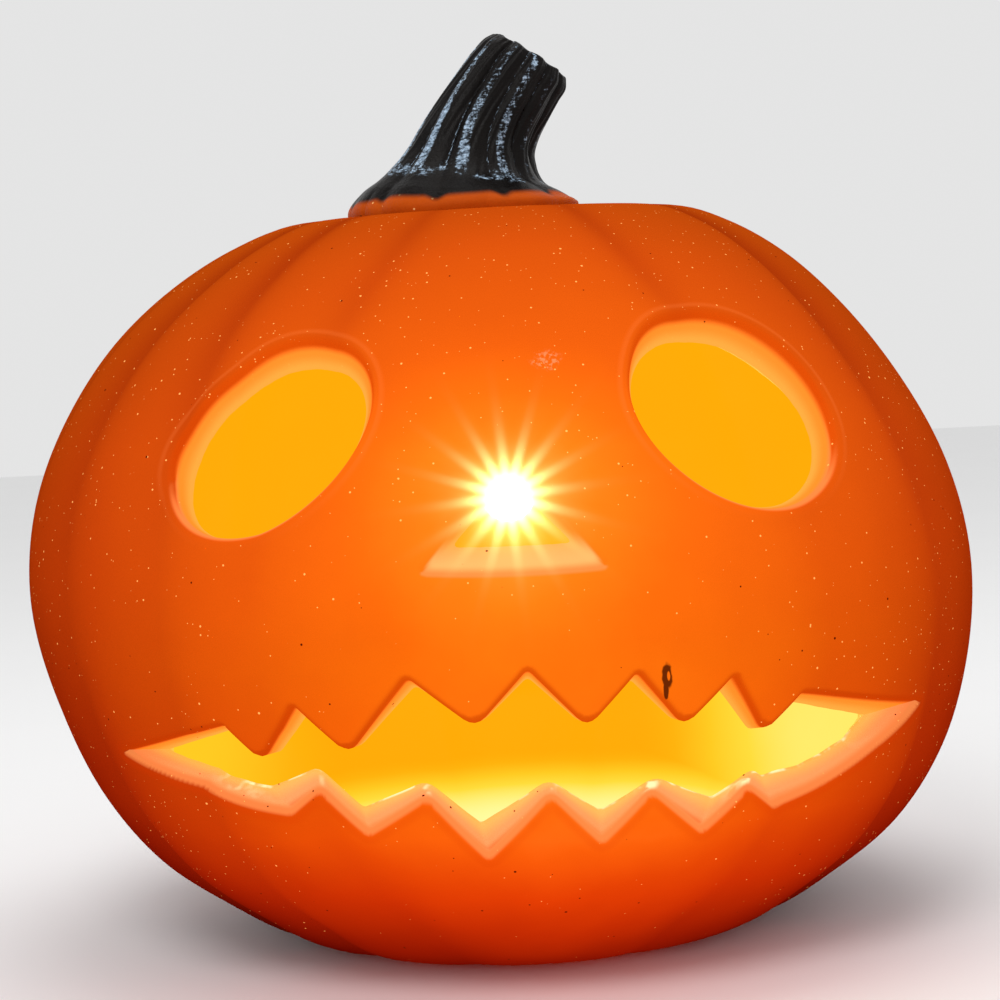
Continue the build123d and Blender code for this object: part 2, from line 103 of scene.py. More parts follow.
# Rings of the stem: sideways place, height, lean, radius
STEM_RINGS = [
    (-5, 219, 0, 29), (-6, 223, 0, 34.5), (-6.5, 229, 0, 37), (-5.5, 233.5, 4, 33),
    (-4.8, 236.5, 6, 28.5), (-4.2, 240, 10, 24), (-3, 244, 14, 21), (-1.5, 248.5, 19, 19),
    (1, 254, 26, 17.2), (4.4, 259.5, 30, 16.3), (8.1, 264.5, 33, 15.8), (12.4, 270.3, 34, 15.2),
    (15.6, 274.1, 35, 14.5), (16.9, 276, 35, 13.1),
]
STEM_FLUTES = 11
# Depth of the flutes at shares of the way from foot to tip
FLUTE_WAYS, FLUTE_DEPTHS = (0, 0.2, 0.35, 0.6, 1), (0.3, 1.3, 1.8, 2.1, 1.7)
# Rings of the stem's cut top: share of the last ring, lift
CROWN_RINGS = ((0.97, 0.5), (0.9, 0.7), (0.75, 0.2), (0.5, -0.7), (0.25, -1.0))

# Camera and lens
CAMERA_AT = (0, -798, 190.7)
CAMERA_TILT, CAMERA_ROLL, LENS = 4, 3, 89


# ---------------------------------------------------------------- shell surface
def smooth_line(knots, step):
    """Points a step apart on a smooth line through the knots, with the length so far."""
    knots = np.array(knots, float)
    at = np.concatenate([[0], np.cumsum(np.linalg.norm(np.diff(knots, axis=0), axis=1))])
    slope = np.gradient(knots, at, axis=0)
    places = np.linspace(0, at[-1], int(at[-1] / step) + 1)
    cell = np.clip(np.searchsorted(at, places, side="right") - 1, 0, len(at) - 2)
    width = (at[cell + 1] - at[cell])[:, None]
    t = (places - at[cell])[:, None] / width
    line = (
        knots[cell] * (1 + 2 * t) * (1 - t) ** 2 + slope[cell] * width * t * (1 - t) ** 2
        + knots[cell + 1] * t * t * (3 - 2 * t) - slope[cell + 1] * width * t * t * (1 - t)
    )
    gone = np.concatenate([[0], np.cumsum(np.linalg.norm(np.diff(line, axis=0), axis=1))])
    return line, gone


MERIDIAN, ALONG = smooth_line(RINGS, 0.5)
TOP_ROW = int(np.argmax(MERIDIAN[:, 1]))


def smooth_step(value, low, high):
    t = np.clip((value - low) / (high - low), 0, 1)
    return t * t * (3 - 2 * t)


def groove_shares(azimuth, height):
    """How deep each point lies in a groove: the crease itself, and the rib's slope beside it."""
    level = np.clip(height / BODY_HEIGHT, 0, 1)
    base = np.array([g[0] for g in GROOVES], float)
    bow = np.array([g[1] for g in GROOVES], float)
    strength = np.array([g[2] for g in GROOVES], float)
    places = base + bow * np.sin(pi * level)[:, None]
    after = (azimuth[:, None] - places) % 360
    before = (-after) % 360
    i, j = after.argmin(1), before.argmin(1)
    rows = np.arange(len(azimuth))
    a, b = after[rows, i], before[rows, j]
    span = np.maximum(a + b, 1)
    near = np.minimum(a, b) / span
    force = np.where(a < b, strength[i], strength[j])
    ends = (strength[i] * b + strength[j] * a) / span
    return force * np.exp(-((near * span / 3.6) ** 1.5)), ends * (1 - np.sin(pi * near) ** 0.8)


def groove_drop(azimuth, height, radius):
    """How far the grooves between the ribs lower the surface."""
    level = np.clip(height / BODY_HEIGHT, 0, 1)
    drop = GROOVE_DEPTH * (GROOVE_SHALLOW + (1 - GROOVE_SHALLOW) * np.abs(2 * level - 1) ** 1.3)
    drop = drop * np.minimum(1, (radius / 100) ** 2)
    crease, slope = groove_shares(azimuth, height)
    return drop * (0.6 * crease + 0.6 * slope)


def surface(azimuth, along):
    """Points of the outer surface, by azimuth in degrees and distance along the meridian."""
    radius, height, shift = (np.interp(along, ALONG, MERIDIAN[:, k]) for k in range(3))
    turn = np.radians(azimuth)
    uneven = 0.5 * np.sin(3 * turn + height / 31) + 0.35 * np.sin(5 * turn - height / 23 + 1)
    reach = radius - groove_drop(azimuth, height, radius) + uneven * np.clip(radius / 100 - 0.5, 0, 1)
    return np.stack([shift + reach * np.sin(turn), -reach * np.cos(turn), height], -1)


def surface_normal(azimuth, along):
    d = 0.4
    across = surface(azimuth + d, along) - surface(azimuth - d, along)
    up = surface(azimuth, along + d) - surface(azimuth, along - d)
    n = np.cross(across, up)
    return n / np.linalg.norm(n, axis=1)[:, None]


def shift_and_along(heights):
    """Sideways shift of the centre, and distance along the meridian, at heights below the top."""
    rows = slice(0, TOP_ROW + 1)
    return [np.interp(heights, MERIDIAN[rows, 1], column[rows]) for column in (MERIDIAN[:, 2], ALONG)]


def gap_to_surface(points):
    """How far points lie outside the outer surface, level with the ground."""
    shift, along = shift_and_along(points[:, 2])
    azimuth = np.degrees(np.arctan2(points[:, 0] - shift, -points[:, 1]))
    skin = surface(azimuth, along)
    return np.hypot(points[:, 0] - shift, points[:, 1]) - np.hypot(skin[:, 0] - shift, skin[:, 1])


def meet_surface(starts, ends, depth=0):
    """Where straight lines from starts to ends reach a depth below the outer surface."""
    low, high = np.zeros(len(starts)), np.ones(len(starts))
    for _ in range(30):
        middle = (low + high) / 2
        outside = gap_to_surface(starts + (ends - starts) * middle[:, None]) > -depth
        low, high = np.where(outside, middle, low), np.where(outside, high, middle)
    return starts + (ends - starts) * low[:, None]


def chart_of(points):
    """Azimuth in degrees and distance along the meridian for points on the surface."""
    shift, along = shift_and_along(points[:, 2])
    return np.degrees(np.arctan2(points[:, 0] - shift, -points[:, 1])), along


# ---------------------------------------------------------------- openings
def twice_area(outline):
    """Twice the area inside an outline, negative where it runs clockwise."""
    x, y = outline[:, 0], outline[:, 1]
    return np.sum(x * np.roll(y, -1) - np.roll(x, -1) * y)


def rounded_outline(corners, cut, sharp, counts=None, step=1.5):
    """A closed outline with rounded corners, sharper by a factor where they point outwards.

    Counts of points from corner to corner, taken from one outline, keep another in step with it."""
    corners = np.array(corners, float)
    ahead, behind = np.roll(corners, -1, axis=0) - corners, np.roll(corners, 1, axis=0) - corners
    turns = ahead[:, 0] * behind[:, 1] - ahead[:, 1] * behind[:, 0]
    cuts = np.where(turns * twice_area(corners) > 0, sharp * cut, cut)
    points, used = [], []
    for i, (corner, before, after) in enumerate(zip(corners, behind, ahead)):
        reach = [min(cuts[i], np.linalg.norm(side) * 0.4) for side in (before, after)]
        enter = corner + before / np.linalg.norm(before) * reach[0]
        leave = corner + after / np.linalg.norm(after) * reach[1]
        for t in (0, 0.25, 0.5, 0.75, 1):
            points.append(enter * (1 - t) ** 2 + corner * 2 * t * (1 - t) + leave * t * t)
        following = (i + 1) % len(corners)
        length = np.linalg.norm(after)
        back = -after / length * min(cuts[following], length * 0.4)
        run = corners[following] + back - leave
        count = counts[i] if counts else max(int(np.linalg.norm(run) / step), 1)
        used.append(count)
        points += [leave + run * k / count for k in range(1, count)]
    return np.array(points), used


def aimed_ring(outline, tip, face, depth):
    """An outline drawn on a flat face ahead of a tip, cast onto the surface along rays from the tip."""
    tip = np.array(tip, float)
    ray = np.stack([outline[:, 0], np.full(len(outline), -face), outline[:, 1]], -1)
    return meet_surface(tip + ray * 1.8, tip + ray * 0.15, depth)


def aimed_opening(outer, inner, tip, face, cut, sharp, step):
    outline, counts = rounded_outline(outer, cut, sharp, step=step)
    inside, _ = rounded_outline(inner, cut, sharp, counts)
    return aimed_ring(outline, tip, face, 0), aimed_ring(inside, tip, face, LIP_DEPTH)


def eye_opening(eye, count=150):
    out = np.array(eye["out"]) / np.linalg.norm(eye["out"])
    side = np.array([-out[1], out[0], 0]) / np.hypot(out[0], out[1])
    up = np.cross(out, side)
    rings = []
    for (half_long, half_wide, turn), shift, depth, dents in (
        (eye["outer"], (0, 0), 0, eye["outer_dents"]),
        (eye["inner"], eye["shift"], LIP_DEPTH, eye["inner_dents"]),
    ):
        t = np.linspace(0, 2 * pi, count, endpoint=False)
        lean = radians(turn)
        u = half_long * np.cos(t) * cos(lean) - half_wide * np.sin(t) * sin(lean)
        v = half_long * np.cos(t) * sin(lean) + half_wide * np.sin(t) * cos(lean)
        swell = np.ones(count)
        for angle, amount, width in dents:
            away = (np.degrees(np.arctan2(v, u)) - angle + 180) % 360 - 180
            swell += amount * np.exp(-((away / width) ** 2))
        u, v = shift[0] + u * swell, shift[1] + v * swell
        flat = np.array(eye["at"]) + u[:, None] * side + v[:, None] * up
        rings.append(meet_surface(flat + 30 * out, flat - 40 * out, depth))
    return rings


def port_opening(count=180):
    t = np.linspace(0, 2 * pi, count, endpoint=False)

    def circle(radius, y):
        x, z = PORT[0] + radius * np.cos(t), PORT[2] + radius * np.sin(t)
        return np.stack([x, np.full(count, float(y)), z], -1)

    rim = meet_surface(circle(RECESS_RADIUS, 190), circle(RECESS_RADIUS, 60))
    ledge, end = PORT[1], PORT[1] - SLEEVE_DEPTH
    steps = [
        (RECESS_RADIUS, ledge + 0.8), (RECESS_RADIUS - 0.8, ledge), (HOLE_RADIUS + 1, ledge),
        (HOLE_RADIUS + 0.3, ledge - 0.3), (HOLE_RADIUS, ledge - 1.2), (HOLE_RADIUS, end),
    ]
    return rim, [circle(radius, y) for radius, y in steps]


def lip_rings(outer, inner, rough, count=6):
    """Rings that lead from an opening's outer edge in to its trimmed inner edge."""
    waver = np.arange(len(outer)) * 2 * pi / len(outer)
    ragged = rough * (np.sin(17 * waver) + 0.8 * np.sin(41 * waver + 1))
    inward = inner - outer
    inward = inward / np.linalg.norm(inward, axis=1)[:, None]
    trimmed = inner + inward * ragged[:, None]
    return [outer + (trimmed - outer) * (k / count) for k in range(1, count + 1)]


def inside_outline(points, outline):
    x, y = points[:, 0], points[:, 1]
    hit = np.zeros(len(points), bool)
    for (x0, y0), (x1, y1) in zip(outline, np.roll(outline, -1, axis=0)):
        if y0 == y1:
            continue
        crosses = (y0 > y) != (y1 > y)
        hit ^= crosses & (x < x0 + (y - y0) * (x1 - x0) / (y1 - y0))
    return hit


def distance_to(points, outline):
    starts, ends = outline, np.roll(outline, -1, axis=0)
    run = ends - starts
    squares = np.maximum((run ** 2).sum(1), 1e-9)
    best = np.full(len(points), 1e9)
    for a, r, square in zip(starts, run, squares):
        t = np.clip(((points - a) @ r) / square, 0, 1)
        best = np.minimum(best, np.linalg.norm(points - a - t[:, None] * r, axis=1))
    return best


def contour(outline, gap, spacing):
    """Points a given gap outside an outline, about a spacing apart."""
    run = np.roll(outline, -1, axis=0) - outline
    run = run / np.linalg.norm(run, axis=1)[:, None]
    side = np.stack([run[:, 1], -run[:, 0]], -1) * np.sign(twice_area(outline))
    candidates = []
    for i, point in enumerate(outline):
        before, after = side[i - 1], side[i]
        bend = int(np.degrees(np.arccos(np.clip(before @ after, -1, 1))) / 18)
        for k in range(bend + 2):
            mix = before + (after - before) * k / (bend + 1)
            candidates.append(point + gap * mix / max(np.linalg.norm(mix), 1e-6))
    candidates = np.array(candidates)
    candidates = candidates[distance_to(candidates, outline) > 0.985 * gap]
    kept = []
    for point in candidates:
        if not kept or min(np.linalg.norm(np.array(kept) - point, axis=1)) > 0.72 * spacing:
            kept.append(point)
    return kept


# ---------------------------------------------------------------- shell mesh
LIP_ROUND, PORT_ROUND = 1.8, 1.2
# The bead outside each edge: gap from the edge, width, height
BEAD = (2.9, 0.9, 0.3)
# Rings of points outside each edge, and their spacing: the first ring, growth per ring, the widest
LIP_GAPS = (0.3, 0.8, 1.4, 2.1, 2.9, 4.0, 5.4)
FIRST_SPACING, SPACING_GROWTH, WIDEST_SPACING = 1.3, 1.1, 2.4
# The even grid elsewhere, its distance from the last ring, and where the chart of the surface starts
GRID, GRID_CLEARANCE, SEAM = 3.0, 1.4, -110
# How far from an edge points are looked at: for clearing the grid, for shading, for rounding
CLEAR_REACH, SHADE_REACH, ROUND_REACH = 8, 12, 9
# Rings that close the base and the dimple: radius, height
FOOT_RINGS = ((56, 0.0), (52, 1.2), (30, 1.4), (0, 1.4))
DIMPLE_RINGS = ((20, 218.5), (0, 218.5))


def ring_faces(last, current):
    """Four-sided faces between two rings of as many points."""
    count = len(last)
    return [(last[i], last[(i + 1) % count], current[(i + 1) % count], current[i]) for i in range(count)]


def add_attributes(mesh, columns):
    for name, values in columns.items():
        attribute = mesh.attributes.new(name, "FLOAT", "POINT")
        attribute.data.foreach_set("value", np.array(values, float))


def lip_drop(gap, size):
    """The rolled edge round an opening: a rounded shoulder and a faint bead."""
    bead_gap, bead_width, bead_height = BEAD
    inner = np.clip(size - gap, 0, size)
    rolled = size - np.sqrt(size * size - inner * inner)
    return rolled - bead_height * np.exp(-(((gap - bead_gap) / bead_width) ** 2))


def find_openings():
    """Each opening's outer edge, the rings that lead inwards from it, and its edge radius."""
    eyes = {name: eye_opening(eye) for name, eye in EYES.items()}
    nose = aimed_opening(NOSE_OUTER, NOSE_INNER, NOSE_TIP, NOSE_FACE, cut=3.0, sharp=1.0, step=1.4)
    mouth = aimed_opening(MOUTH_OUTER, MOUTH_INNER, MOUTH_TIP, MOUTH_FACE, cut=4.2, sharp=0.4, step=1.7)
    port_rim, port_steps = port_opening()
    lips = ((eyes["left"], 0.05), (eyes["right"], 0.04), (nose, 0.08), (mouth, 0.12))
    found = [(outer, lip_rings(outer, inner, rough), LIP_ROUND) for (outer, inner), rough in lips]
    return found + [(port_rim, port_steps, PORT_ROUND)]


def build_shell():
    openings = find_openings()
    chart, edges, zones = [], [], []
    for outer, _, _ in openings:
        azimuth, along = chart_of(outer)
        azimuth = (azimuth - SEAM) % 360
        scale = np.interp(along.mean(), ALONG, MERIDIAN[:, 0]) * pi / 180
        flat = np.stack([azimuth * scale, along], -1)
        first = len(chart)
        chart += [(x / scale, y) for x, y in flat]
        edges += [(first + k, first + (k + 1) % len(flat)) for k in range(len(flat))]
        zones.append((flat, scale, first))
    for flat, scale, _ in zones:
        spacing = FIRST_SPACING
        for gap in LIP_GAPS:
            ring = np.array(contour(flat, gap, spacing))
            others = np.ones(len(ring), bool)
            for other, other_scale, _ in zones:
                if other is not flat:
                    place = ring / (scale, 1) * (other_scale, 1)
                    others &= (distance_to(place, other) > gap) & ~inside_outline(place, other)
            chart += [(x / scale, y) for x, y in ring[others]]
            spacing = min(spacing * SPACING_GROWTH, WIDEST_SPACING)

    columns = int(360 / np.degrees(GRID / BODY_RADIUS))
    rows = int(ALONG[-1] / GRID)
    stagger = 180 / columns
    grid = np.array([
        (360 * i / columns + (stagger if row % 2 and 0 < i < columns else 0), ALONG[-1] * row / rows)
        for row in range(rows + 1) for i in range(columns + 1)
    ])
    keep = np.ones(len(grid), bool)
    for flat, scale, _ in zones:
        place = grid * (scale, 1)
        low, high = flat.min(0) - CLEAR_REACH, flat.max(0) + CLEAR_REACH
        index = np.where(np.all((place > low) & (place < high), axis=1))[0]
        near = distance_to(place[index], flat) < LIP_GAPS[-1] + GRID_CLEARANCE
        keep[index[near | inside_outline(place[index], flat)]] = False
    chart += [tuple(point) for point in grid[keep]]

    degree = BODY_RADIUS * pi / 180
    flat_points = [Vector((x * degree, y)) for x, y in chart]
    result = delaunay_2d_cdt(flat_points, edges, [], 0, 1e-5)
    places = np.array([[v[0] / degree, v[1]] for v in result[0]])
    triangles = np.array(result[2])
    middle = places[triangles].mean(1)
    solid = np.ones(len(triangles), bool)
    for flat, scale, _ in zones:
        solid &= ~inside_outline(middle * (scale, 1), flat)
    triangles = triangles[solid]
    renamed = {}
    for new, olds in enumerate(result[3]):
        for old in olds:
            renamed[old] = new

    azimuth, along = places[:, 0] + SEAM, places[:, 1]
    points = surface(azimuth, along)
    normals = surface_normal(azimuth, np.clip(along, 0.5, ALONG[-1] - 0.5))
    edge_gap = np.full(len(places), 99.0)
    leans = list(normals[:, 2])
    for (flat, scale, _), (_, _, size) in zip(zones, openings):
        place = places * (scale, 1)
        low, high = flat.min(0) - SHADE_REACH, flat.max(0) + SHADE_REACH
        index = np.where(np.all((place > low) & (place < high), axis=1))[0]
        gap = distance_to(place[index], flat)
        points[index] -= normals[index] * lip_drop(gap, size)[:, None] * (gap < ROUND_REACH)[:, None]
        if size == LIP_ROUND:
            edge_gap[index] = np.minimum(edge_gap[index], gap)

    crease = groove_shares(azimuth, points[:, 2])[0]
    crease = crease * (0.25 + 0.75 * np.abs(points[:, 2] / BODY_HEIGHT * 2 - 1))
    verts = list(points)
    lip = list(np.zeros(len(points)))
    gaps = list(edge_gap)
    creases = list(crease)
    faces = [tuple(t) for t in triangles]

    def add_ring(ring, depth):
        first = len(verts)
        verts.extend(ring)
        lip.extend([depth] * len(ring))
        gaps.extend([0.0] * len(ring))
        creases.extend([0.0] * len(ring))
        leans.extend([0.0] * len(ring))
        return list(range(first, first + len(ring)))

    for (flat, _, first), (outer, steps, size) in zip(zones, openings):
        last = [renamed[first + k] for k in range(len(outer))]
        start = np.array([verts[i] for i in last])
        shift = start - outer
        for k, ring in enumerate(steps):
            ease = 1 - (k + 1) / len(steps)
            moved = ring + shift * ease if size == LIP_ROUND else ring
            current = add_ring(moved, (k + 1) / len(steps) if size == LIP_ROUND else 0.0)
            faces.extend(ring_faces(last, current))
            last = current

    # flat base with a shallow foot ring, and the floor of the dimple under the stem
    for row, ends in ((0.0, FOOT_RINGS), (ALONG[-1], DIMPLE_RINGS)):
        on_row = (np.abs(places[:, 1] - row) < 0.001) & (places[:, 0] < 359.99)
        border = np.where(on_row)[0].tolist()
        border.sort(key=lambda i: places[i, 0])
        turn = np.radians(places[border, 0] + SEAM)
        shift = RINGS[0][2] if row == 0 else RINGS[-1][2]
        last = border
        for radius, height in ends:
            if radius:
                x, y = shift + radius * np.sin(turn), -radius * np.cos(turn)
                current = add_ring(np.stack([x, y, np.full(len(turn), height)], -1), 0.0)
                faces.extend(ring_faces(last, current))
                last = current
            else:
                tip = add_ring(np.array([[shift, 0.0, height]]), 0.0)[0]
                faces += [(last[i], last[(i + 1) % len(last)], tip) for i in range(len(last))]

    mesh = bpy.data.meshes.new("pumpkin_body")
    mesh.from_pydata([tuple(v * MM) for v in np.array(verts)], [], faces)
    add_attributes(mesh, {"lip": lip, "edge_gap": gaps, "crease": creases, "lean": leans})
    work = bmesh.new()
    work.from_mesh(mesh)
    bmesh.ops.remove_doubles(work, verts=work.verts, dist=0.00002)
    bmesh.ops.recalc_face_normals(work, faces=work.faces)
    widest = max(work.faces, key=lambda f: f.calc_center_median().x)
    if widest.normal.x < 0:
        bmesh.ops.reverse_faces(work, faces=work.faces)
    work.to_mesh(mesh)
    work.free()
    mesh.shade_smooth()
    piece = bpy.data.objects.new("pumpkin_body", mesh)
    bpy.context.scene.collection.objects.link(piece)
    thicken = piece.modifiers.new("wall", "SOLIDIFY")
    thicken.thickness = WALL * MM
    thicken.offset = -1
    thicken.material_offset = 1
    thicken.material_offset_rim = 2
    return piece


# ---------------------------------------------------------------- stem mesh
def build_stem():
    line, gone = smooth_line(STEM_RINGS, 0.45)
    around = 264
    turn = np.linspace(0, 2 * pi, around, endpoint=False)
    verts, ridges, flanks, heights = [], [], [], []
    for (across, height, lean, radius), way in zip(line, gone / gone[-1]):
        lean = radians(lean)
        axis_side = np.array([cos(lean), 0, -sin(lean)])
        twist = 0.5 * way
        wobble = 0.14 * np.sin(2 * turn + 1) + 0.1 * np.sin(3 * turn + 4 * way)
        phase = STEM_FLUTES * (turn + twist) / 2 + wobble
        crest = np.abs(np.sin(phase)) ** 0.75
        lobes = np.abs(np.sin(2.5 * (turn - radians(210)))) ** 0.5
        collar = 1 - smooth_step(np.array(way), 0.14, 0.3)
        uneven = 1 + 0.3 * np.sin(3 * turn + 2) + 0.2 * np.sin(5 * turn)
        depth = np.interp(way, FLUTE_WAYS, FLUTE_DEPTHS) * uneven
        fine = 0.12 * np.sin(37 * turn + 3 * way) + 0.1 * np.sin(61 * turn - 5 * way)
        reach = radius + 0.6 - depth * (1 - crest) + fine * smooth_step(np.array(way), 0.25, 0.4)
        reach = reach - 1.8 * collar * (1 - lobes)
        ring = (
            np.array([across, 0, height]) + (reach * np.cos(turn))[:, None] * axis_side
            + (reach * np.sin(turn))[:, None] * np.array([0, 1, 0])
        )
        verts.append(ring)
        ridges.append(crest)
        flanks.append((phase / pi) % 1)
        heights.append(np.full(around, way))
    last, lean = verts[-1], radians(STEM_RINGS[-1][2])
    axis = np.array([sin(lean), 0, cos(lean)])
    middle = last.mean(0)
    for share, lift in CROWN_RINGS:
        bumps = 0.25 * np.sin(9 * turn + 8 * share)
        verts.append(middle + (last - middle) * share + (lift + bumps)[:, None] * axis)
        ridges.append(ridges[-1] * 0.9)
        flanks.append(np.full(around, 0.8))
        heights.append(np.full(around, 1.0))
    points = np.vstack(verts + [middle - 1.1 * axis, verts[0].mean(0)])
    tip, foot = len(points) - 2, len(points) - 1
    rings = [range(first, first + around) for first in range(0, len(verts) * around, around)]
    faces = [face for last, current in zip(rings, rings[1:]) for face in ring_faces(last, current)]
    faces += [(rings[-1][i], rings[-1][(i + 1) % around], tip) for i in range(around)]
    faces += [((i + 1) % around, i, foot) for i in range(around)]
    mesh = bpy.data.meshes.new("pumpkin_stem")
    mesh.from_pydata([tuple(p * MM) for p in points], [], faces)
    ridge = np.concatenate(ridges + [[0.2, 0.2]])
    way = np.concatenate(heights + [[1.0, 0.0]])
    flank = np.concatenate(flanks + [[0.8, 0.8]])
    add_attributes(mesh, {"ridge": ridge, "flank": flank, "way": way})
    mesh.shade_smooth()
    piece = bpy.data.objects.new("pumpkin_stem", mesh)
    bpy.context.scene.collection.objects.link(piece)
    return piece


# ---------------------------------------------------------------- material helpers
class Nodes:
    """Short names for building a node tree."""

    def __init__(self, name):
        self.material = bpy.data.materials.new(name)
        self.material.use_nodes = True
        self.tree = self.material.node_tree
        self.shader = self.tree.nodes["Principled BSDF"]

    def put(self, socket, value):
        if isinstance(value, bpy.types.NodeSocket):
            self.tree.links.new(value, socket)
        elif socket.type == "RGBA" and len(value) == 3:
            socket.default_value = (*value, 1)
        else:
            socket.default_value = value

    def shade(self, **values):
        for name, value in values.items():
            self.put(self.shader.inputs[name.replace("_", " ")], value)

    def place(self):
        return self.tree.nodes.new("ShaderNodeTexCoord").outputs["Object"]

    def attribute(self, name):
        node = self.tree.nodes.new("ShaderNodeAttribute")
        node.attribute_name = name
        return node.outputs["Fac"]

    def math(self, kind, a, b=0.0, c=0.0):
        node = self.tree.nodes.new("ShaderNodeMath")
        node.operation = kind
        for socket, value in zip(node.inputs, (a, b, c)):
            self.put(socket, value)
        return node.outputs[0]

    def vector(self, kind, a, b=(0, 0, 0)):
        node = self.tree.nodes.new("ShaderNodeVectorMath")
        node.operation = kind
        self.put(node.inputs[0], a)
        self.put(node.inputs[1], b)
        return node.outputs["Value" if kind in ("LENGTH", "DISTANCE", "DOT_PRODUCT") else 0]

    def step(self, value, low, high, start=0.0, end=1.0):
        node = self.tree.nodes.new("ShaderNodeMapRange")
        node.interpolation_type = "SMOOTHSTEP"
        names = ("Value", "From Min", "From Max", "To Min", "To Max")
        for name, number in zip(names, (value, low, high, start, end)):
            self.put(node.inputs[name], number)
        return node.outputs["Result"]

    def mix(self, share, a, b, kind="MIX"):
        node = self.tree.nodes.new("ShaderNodeMix")
        node.data_type = "RGBA"
        node.blend_type = kind
        self.put(node.inputs[0], share)
        self.put(node.inputs[6], a)
        self.put(node.inputs[7], b)
        return node.outputs[2]

    def noise(self, scale, detail=2.0, rough=0.5, place=None, stretch=None):
        node = self.tree.nodes.new("ShaderNodeTexNoise")
        node.inputs["Scale"].default_value = scale
        node.inputs["Detail"].default_value = detail
        node.inputs["Roughness"].default_value = rough
        where = place or self.place()
        if stretch:
            where = self.vector("MULTIPLY", where, stretch)
        self.put(node.inputs["Vector"], where)
        return node.outputs["Fac"]

    def cells(self, scale, place=None):
        node = self.tree.nodes.new("ShaderNodeTexVoronoi")
        node.inputs["Scale"].default_value = scale
        self.put(node.inputs["Vector"], place or self.place())
        return node.outputs["Distance"], node.outputs["Color"]

    def split(self, colour):
        node = self.tree.nodes.new("ShaderNodeSeparateColor")
        self.put(node.inputs[0], colour)
        return node.outputs

    def axes_of(self, place):
        node = self.tree.nodes.new("ShaderNodeSeparateXYZ")
        self.put(node.inputs[0], place)
        return node.outputs

    def ramp(self, value, stops):
        node = self.tree.nodes.new("ShaderNodeValToRGB")
        self.put(node.inputs[0], value)
        while len(node.color_ramp.elements) < len(stops):
            node.color_ramp.elements.new(0.5)
        for element, (at, colour) in zip(node.color_ramp.elements, stops):
            element.position = at
            element.color = (*colour, 1)
        return node.outputs[0]

    def bump(self, height, distance, strength=1.0):
        node = self.tree.nodes.new("ShaderNodeBump")
        node.inputs["Distance"].default_value = distance
        node.inputs["Strength"].default_value = strength
        self.put(node.inputs["Height"], height)
        self.put(self.shader.inputs["Normal"], node.outputs[0])


def srgb(red, green, blue):
    """A colour as seen on screen, as linear values."""
    shares = (red / 255, green / 255, blue / 255)
    return tuple(c / 12.92 if c <= 0.04045 else ((c + 0.055) / 1.055) ** 2.4 for c in shares)


def flecks(n, size, spacing, share, place):
    """Small spots in a share of the cells of a random lattice."""
    distance, colour = n.cells(1 / (spacing * MM), place)
    red, green, _ = n.split(colour)
    chosen = n.math("GREATER_THAN", red, n.math("SUBTRACT", 1.0, share))
    radius = n.math("MULTIPLY_ADD", green, size / spacing, 0.35 * size / spacing)
    return n.math("MULTIPLY", chosen, n.step(n.math("DIVIDE", distance, radius), 0.7, 1.0, 1.0, 0.0))


# ---------------------------------------------------------------- shell materials
NOSE_MIDDLE = (0.001, -0.142, 0.146)


def facing_share(n, place, turn):
    """1 where the wall faces the front, 0 where it faces the side or the back."""
    flat = n.vector("NORMALIZE", n.vector("MULTIPLY", place, (1, 1, 0)))
    front = n.vector("DOT_PRODUCT", flat, (sin(radians(turn)), -cos(radians(turn)), 0))
    return n.math("POWER", n.math("MAXIMUM", front, 0.0), 2.2)


